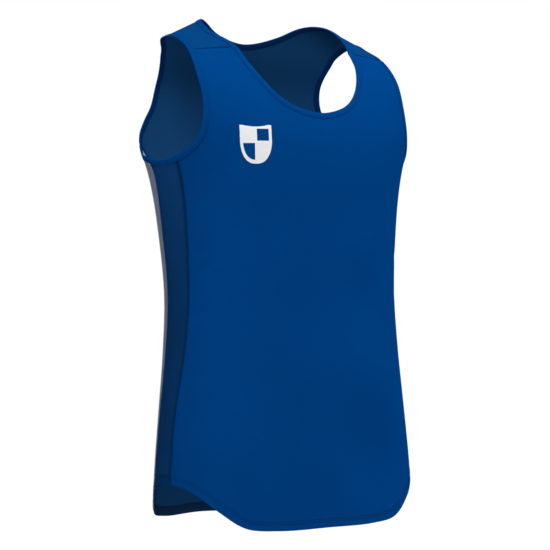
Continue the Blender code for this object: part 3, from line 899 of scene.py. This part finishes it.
def add_piece(name, vertices, faces, pattern, materials, layers=None, near=None):
    """Makes one closed piece with its flat pattern as a UV map, faces outwards."""
    mesh = bpy.data.meshes.new(name)
    mesh.from_pydata(vertices.tolist(), [], faces)
    corners = np.empty(len(mesh.loops), np.int32)
    mesh.loops.foreach_get("vertex_index", corners)
    flat = mesh.uv_layers.new(name="cloth")
    flat.data.foreach_set("uv", pattern[corners].astype(np.float32).ravel())
    for material in materials:
        mesh.materials.append(material)
    if near is not None:
        attribute = mesh.attributes.new("near_seam", "FLOAT", "POINT")
        attribute.data.foreach_set("value", near.astype(np.float32))
    if layers is not None:
        mesh.polygons.foreach_set("material_index", np.array(layers, np.int32))
    model = bmesh.new()
    model.from_mesh(mesh)
    loose = [vertex for vertex in model.verts if not vertex.link_faces]
    bmesh.ops.delete(model, geom=loose, context="VERTS")
    bmesh.ops.recalc_face_normals(model, faces=model.faces)
    model.to_mesh(mesh)
    model.free()
    mesh.polygons.foreach_set("use_smooth", np.ones(len(mesh.polygons), bool))
    mesh.set_sharp_from_angle(angle=SHARP)
    return in_scene(name, mesh)


def binding(name, loop, inward):
    """The folded strip round an opening, its inner leg painted darker than its outer one, as shade.
    """
    section = binding_section()
    vertices, faces, pattern = swept(loop, inward, section, True)
    inner = [point.height < 0 for point in section]
    layers = np.repeat(inner, len(loop)).astype(int)
    return add_piece(name, vertices, faces, pattern, [binding_knit, binding_inside_shaded_knit], layers)


def panel(name, places, insets, materials):
    """A wall of cloth inside an outline."""
    places, triangles = fill_outline(places, insets)
    points, out = cloth_surface(places)
    vertices, faces, layers = walled(points, out, triangles, -CLOTH / 2, CLOTH / 2)
    pattern = np.tile(to_pattern(places), (2, 1))
    near = np.tile(near_seam(on_form(places)), 2)
    return add_piece(name, vertices, faces, pattern, materials, layers, near)


def mirrored_piece(name, piece):
    """The same piece on the other side of the body."""
    mesh = piece.data.copy()
    mesh.name = name
    mesh.transform(Matrix.Scale(-1.0, 4, Vector((1.0, 0.0, 0.0))))
    mesh.flip_normals()
    return in_scene(name, mesh)


front = panel("front_cloth", *both_sides([
    (hem_front, 0.0),
    (front_seam[::-1], HALF_GAP),
    (arm_front, CUT_BACK),
    (shoulder_seam[::-1], HALF_GAP),
    (neck_front[::-1], CUT_BACK),
]), [front_knit, inside_knit])
back = panel("back_cloth", *both_sides([
    (neck_back[::-1], CUT_BACK),
    (shoulder_seam, HALF_GAP),
    (arm_back, CUT_BACK),
    (renamed(back_seam), HALF_GAP),
    (renamed(hem_back), 0.0),
]), [back_knit, inside_knit])
side_left = panel("side_mesh_left", *chain([
    (hem_side, 0.0),
    (back_seam[::-1], HALF_GAP),
    (renamed(arm_under), CUT_BACK),
    (front_seam, HALF_GAP),
]), [side_mesh])
side_right = mirrored_piece("side_mesh_right", side_left)

neck_strip = binding("neck_strip", neck_loop, neck_inward)
arm_strip_left = binding("armhole_strip_left", arm_loop, arm_inward)
arm_strip_right = mirrored_piece("armhole_strip_right", arm_strip_left)

print_places, print_triangles, print_flat = print_solid()
print_points, print_out = cloth_surface(print_places)
low = CLOTH / 2 + PRINT_GAP
vertices, faces, layers = walled(print_points, print_out, print_triangles, low, low + PRINT_WALL)
motif = add_piece("chest_print", vertices, faces, np.tile(print_flat, (2, 1)), [white_film])


# ---------------------------------------------------------------- hems and seam allowances

FRONT_END = len(hem_front) - 1
SIDE_END = FRONT_END + len(hem_side) - 1
HALF_END = SIDE_END + len(hem_back) - 1


def hem_turn(name, first, last, materials):
    """The turned-up hem between two stations of the hem; its second material faces inside."""
    stations = np.arange(first, last + 1) % len(hem_loop)
    section = hem_section()
    vertices, faces, pattern = swept(hem_loop[stations], hem_inward[stations], section, False)
    inner = [point.height < -CLOTH and len(materials) > 1 for point in section]
    layers = np.append(np.repeat(inner, len(stations) - 1), (False, False)).astype(int)
    return add_piece(name, vertices, faces, pattern, materials, layers)


# The insides of the front and back hems get the darker copy of the inside knit, painted shade.
hem_front_turn = hem_turn("front_hem_turn", -FRONT_END, FRONT_END, [front_knit, hem_inside_shaded_knit])
hem_back_turn = hem_turn("back_hem_turn", SIDE_END, 2 * HALF_END - SIDE_END,
                         [back_knit, hem_inside_shaded_knit])
hem_left_turn = hem_turn("side_hem_turn_left", FRONT_END, SIDE_END, [side_mesh])
hem_right_turn = mirrored_piece("side_hem_turn_right", hem_left_turn)


def seam_allowance(name, line, side, first, last):
    """The sewn-in edges of two panels, a narrow flat strip inside one seam."""
    line = line[first:last]
    points = on_form(line)
    along = unit(np.gradient(points, axis=0))
    across = unit(np.cross(outward(line), along)) * side
    near = -CLOTH / 2 - 0.00015
    far = near - 0.0009
    section = (SectionPoint(-0.0006, near), SectionPoint(ALLOWANCE, near),
               SectionPoint(ALLOWANCE, far), SectionPoint(ALLOWANCE / 2, far - 0.0001),
               SectionPoint(-0.0006, far))
    return add_piece(name, *swept(line, across, section, False), [allowance_knit])


front_allowance_left = seam_allowance("front_seam_allowance_left", front_seam, 1.0, 2, -3)
front_allowance_right = mirrored_piece("front_seam_allowance_right", front_allowance_left)
back_allowance_left = seam_allowance("back_seam_allowance_left", back_seam, -1.0, 2, -3)
back_allowance_right = mirrored_piece("back_seam_allowance_right", back_allowance_left)
shoulder_allowance_left = seam_allowance("shoulder_seam_allowance_left", shoulder_seam, 1.0, 2, -2)
shoulder_allowance_right = mirrored_piece("shoulder_seam_allowance_right", shoulder_allowance_left)


# ---------------------------------------------------------------- stitching

def stitch_tree():
    """Stitches laid end to end along a line, standing on its 'out' directions."""
    tree = bpy.data.node_groups.new("stitch_row", "GeometryNodeTree")
    face = tree.interface
    for name, kind in (("Line", "NodeSocketGeometry"), ("Pitch", "NodeSocketFloat"),
                       ("Stitch Length", "NodeSocketFloat"), ("Thread Radius", "NodeSocketFloat"),
                       ("Thread", "NodeSocketMaterial")):
        face.new_socket(name=name, in_out="INPUT", socket_type=kind)
    face.new_socket(name="Stitches", in_out="OUTPUT", socket_type="NodeSocketGeometry")
    new = tree.nodes.new
    given, made = new("NodeGroupInput"), new("NodeGroupOutput")
    curve = new("GeometryNodeMeshToCurve")
    resample = new("GeometryNodeResampleCurve")
    resample.mode = "LENGTH"
    shape = new("GeometryNodeMeshUVSphere")
    shape.inputs["Segments"].default_value = 6
    shape.inputs["Rings"].default_value = 5
    shape.inputs["Radius"].default_value = 1.0
    along = new("GeometryNodeInputTangent")
    out = new("GeometryNodeInputNamedAttribute")
    out.data_type = "FLOAT_VECTOR"
    out.inputs["Name"].default_value = "out"
    lengthwise = new("FunctionNodeAlignRotationToVector")
    lengthwise.axis = "Z"
    upright = new("FunctionNodeAlignRotationToVector")
    upright.axis = "X"
    upright.pivot_axis = "Z"
    half = new("ShaderNodeMath")
    half.operation = "MULTIPLY"
    half.inputs[1].default_value = 0.5
    size = new("ShaderNodeCombineXYZ")
    place = new("GeometryNodeInstanceOnPoints")
    real = new("GeometryNodeRealizeInstances")
    paint = new("GeometryNodeSetMaterial")
    for source, output, target, socket in (
            (given, "Line", curve, "Mesh"),
            (curve, "Curve", resample, "Curve"),
            (given, "Pitch", resample, "Length"),
            (along, "Tangent", lengthwise, "Vector"),
            (lengthwise, "Rotation", upright, "Rotation"),
            (out, "Attribute", upright, "Vector"),
            (given, "Stitch Length", half, 0),
            (given, "Thread Radius", size, "X"),
            (given, "Thread Radius", size, "Y"),
            (half, 0, size, "Z"),
            (resample, "Curve", place, "Points"),
            (shape, "Mesh", place, "Instance"),
            (upright, "Rotation", place, "Rotation"),
            (size, 0, place, "Scale"),
            (place, "Instances", real, "Geometry"),
            (real, "Geometry", paint, "Geometry"),
            (given, "Thread", paint, "Material"),
            (paint, "Geometry", made, "Stitches"),
    ):
        tree.links.new(source.outputs[output], target.inputs[socket])
    return tree


STITCHES = stitch_tree()


def stitched(name, rows, material=royal_thread, radius=THREAD_RADIUS):
    """One piece of stitching. Each row is a closed loop, directions in from it, into and height."""
    vertices, outs, edges = [], [], []
    start = 0
    for loop, inward, into, height in rows:
        line = slide(loop, inward * into)
        points, out = cloth_surface(line)
        count = len(line)
        vertices.append(points + out * height)
        outs.append(out)
        edges += [(start + i, start + (i + 1) % count) for i in range(count)]
        start += count
    mesh = bpy.data.meshes.new(name)
    mesh.from_pydata(np.concatenate(vertices).tolist(), edges, [])
    attribute = mesh.attributes.new("out", "FLOAT_VECTOR", "POINT")
    attribute.data.foreach_set("vector", np.concatenate(outs).astype(np.float32).ravel())
    guide = in_scene(name + "_guide", mesh)
    sewing = guide.modifiers.new("stitches", "NODES")
    sewing.node_group = STITCHES
    given = {"Pitch": STITCH_PITCH, "Stitch Length": STITCH_LENGTH,
             "Thread Radius": radius, "Thread": material}
    for item in STITCHES.interface.items_tree:
        if item.in_out == "INPUT" and item.name in given:
            sewing[item.identifier] = given[item.name]
    bpy.context.view_layer.update()
    seen = guide.evaluated_get(bpy.context.evaluated_depsgraph_get())
    result = bpy.data.meshes.new_from_object(seen)
    result.name = name
    guide.modifiers.remove(sewing)
    bpy.data.objects.remove(guide)
    result.polygons.foreach_set("use_smooth", np.ones(len(result.polygons), bool))
    return in_scene(name, result)


def binding_stitches(name, loop, inward):
    """A row of stitches on each leg of a binding."""
    height = CLOTH / 2 + BINDING_PLAY + BINDING_WALL - THREAD_SUNK
    into = BINDING_WIDTH - BINDING_STITCHES
    return stitched(name, [(loop, inward, into, height), (loop, inward, into, -height)])


neck_stitches = binding_stitches("neck_stitches", neck_loop, neck_inward)
arm_stitches_left = binding_stitches("armhole_stitches_left", arm_loop, arm_inward)
arm_stitches_right = mirrored_piece("armhole_stitches_right", arm_stitches_left)
on_hem = CLOTH / 2 + 0.00008
in_hem = -(CLOTH / 2 + HEM_WALL + 0.0002)
hem_stitches = stitched("hem_stitches", [
    (hem_loop, hem_inward, HEM_TURN - down, height)
    for down in HEM_STITCHES for height in (on_hem, in_hem)],
    hem_thread, HEM_THREAD_RADIUS)


# ---------------------------------------------------------------- bodies, nodes and slots

STANDS_FOR = (
    (front, "front_panel", "royal_knit"),
    (back, "back_panel", "royal_knit"),
    (side_left, "side_panel_left", "navy_mesh"),
    (side_right, "side_panel_right", "navy_mesh"),
    (neck_strip, "neck_binding", "royal_binding"),
    (arm_strip_left, "armhole_binding_left", "royal_binding"),
    (arm_strip_right, "armhole_binding_right", "royal_binding"),
    (motif, "chest_motif", "white_print"),
)
for piece, node, slot in STANDS_FOR:
    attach(piece, "root")
    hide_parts(node)

SEWN_ON = (
    (hem_front_turn, "royal_knit"), (hem_back_turn, "royal_knit"),
    (hem_left_turn, "navy_mesh"), (hem_right_turn, "navy_mesh"),
    (front_allowance_left, "royal_knit"), (front_allowance_right, "royal_knit"),
    (back_allowance_left, "royal_knit"), (back_allowance_right, "royal_knit"),
    (shoulder_allowance_left, "royal_knit"), (shoulder_allowance_right, "royal_knit"),
    (neck_stitches, "royal_binding"), (arm_stitches_left, "royal_binding"),
    (arm_stitches_right, "royal_binding"), (hem_stitches, "royal_knit"),
)
for piece, slot in SEWN_ON:
    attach(piece, "root")


# ---------------------------------------------------------------- studio

FLOOR_DROP = 0.30          # from the lowest point of the hem to the floor
FLOOR_RADIUS = 14.0
WORLD_LOW = 0.21           # strength of the world's light from below
WORLD_HIGH = 0.38          # the same, from above


def white_to_camera(tree, lighting, white, output):
    """Shows the camera the white shader, and lights the cloth with the other."""
    rays = tree.nodes.new("ShaderNodeLightPath")
    either = tree.nodes.new("ShaderNodeMixShader")
    tree.links.new(rays.outputs["Is Camera Ray"], either.inputs[0])
    tree.links.new(lighting, either.inputs[1])
    tree.links.new(white, either.inputs[2])
    tree.links.new(either.outputs[0], tree.nodes[output].inputs["Surface"])


def studio_floor():
    """A wide pale floor, seen as even white."""
    mesh = bpy.data.meshes.new("studio_floor")
    model = bmesh.new()
    bmesh.ops.create_circle(model, cap_ends=True, radius=FLOOR_RADIUS, segments=96)
    bmesh.ops.translate(model, verts=model.verts, vec=(0.0, 0.0, cad_box[0].z - FLOOR_DROP))
    model.to_mesh(mesh)
    model.free()
    material = bpy.data.materials.new("pale_floor")
    material.use_nodes = True
    tree = material.node_tree
    shader = tree.nodes["Principled BSDF"]
    shader.inputs["Base Color"].default_value = (0.45, 0.45, 0.45, 1.0)
    shader.inputs["Roughness"].default_value = 0.9
    seen = tree.nodes.new("ShaderNodeEmission")
    seen.inputs["Color"].default_value = (1.0, 1.0, 1.0, 1.0)
    white_to_camera(tree, shader.outputs["BSDF"], seen.outputs["Emission"], "Material Output")
    mesh.materials.append(material)
    return in_scene("studio_floor", mesh)


studio_floor()


def soft_light(name, place, aim, size, power):
    """A white area light of the given size, aimed at a point."""
    lamp = bpy.data.lights.new(name, "AREA")
    lamp.shape = "RECTANGLE"
    lamp.size, lamp.size_y = size
    lamp.energy = power
    light = in_scene(name, lamp)
    light.location = place
    light.rotation_mode = "QUATERNION"
    light.rotation_quaternion = (Vector(aim) - Vector(place)).to_track_quat("-Z", "Y")


soft_light("key_light", (-1.5, -1.7, 1.2), (0.0, 0.0, -0.20), (1.4, 1.2), 33.0)
soft_light("top_light", (0.1, -0.5, 1.6), (0.0, 0.0, -0.1), (1.4, 1.2), 13.5)
soft_light("side_light", (2.3, -0.7, 0.5), (0.0, 0.0, -0.3), (1.2, 1.8), 28.0)
soft_light("low_light", (-2.0, -2.2, -0.9), (0.0, 0.0, -0.60), (1.0, 0.8), 7.0)
soft_light("back_light", (0.9, 2.6, 0.8), (0.0, 0.0, -0.35), (1.6, 1.6), 26.0)


def studio_world():
    """White to look at, with a softer light that comes mostly from above."""
    world = bpy.data.worlds.new("white_studio")
    world.use_nodes = True
    tree = world.node_tree
    seen = tree.nodes["Background"]
    seen.inputs["Color"].default_value = (1.0, 1.0, 1.0, 1.0)
    seen.inputs["Strength"].default_value = 1.0
    glow = tree.nodes.new("ShaderNodeBackground")
    glow.inputs["Color"].default_value = (1.0, 1.0, 1.0, 1.0)
    place = tree.nodes.new("ShaderNodeTexCoord")
    parts = tree.nodes.new("ShaderNodeSeparateXYZ")
    height = tree.nodes.new("ShaderNodeMapRange")
    height.inputs["From Min"].default_value = -0.3
    height.inputs["From Max"].default_value = 1.0
    height.inputs["To Min"].default_value = WORLD_LOW
    height.inputs["To Max"].default_value = WORLD_HIGH
    tree.links.new(place.outputs["Generated"], parts.inputs[0])
    tree.links.new(parts.outputs["Z"], height.inputs["Value"])
    tree.links.new(height.outputs["Result"], glow.inputs["Strength"])
    white_to_camera(tree, glow.outputs["Background"], seen.outputs["Background"], "World Output")
    bpy.context.scene.world = world


studio_world()

CAMERA_PLACE = Vector((-1.504, -2.390, -0.454))
CAMERA_AIM = Vector((-0.0034, 0.0039, -0.3908))
CAMERA_ROLL = math.radians(1.304)
CAMERA_LENS = 131.1

camera_data = bpy.data.cameras.new("camera")
camera_data.lens = CAMERA_LENS
camera_data.sensor_width = 36.0
camera = in_scene("camera", camera_data)
back_axis = (CAMERA_PLACE - CAMERA_AIM).normalized()
right_axis = Vector((0.0, 0.0, 1.0)).cross(back_axis).normalized()
up_axis = back_axis.cross(right_axis)
rolled_right = right_axis * math.cos(CAMERA_ROLL) - up_axis * math.sin(CAMERA_ROLL)
rolled_up = right_axis * math.sin(CAMERA_ROLL) + up_axis * math.cos(CAMERA_ROLL)
camera_axes = Matrix((rolled_right, rolled_up, back_axis)).transposed()
camera.rotation_mode = "QUATERNION"
camera.location = CAMERA_PLACE
camera.rotation_quaternion = camera_axes.to_quaternion()
bpy.context.scene.camera = camera

bpy.context.scene.view_settings.view_transform = "Standard"

bpy.context.view_layer.update()
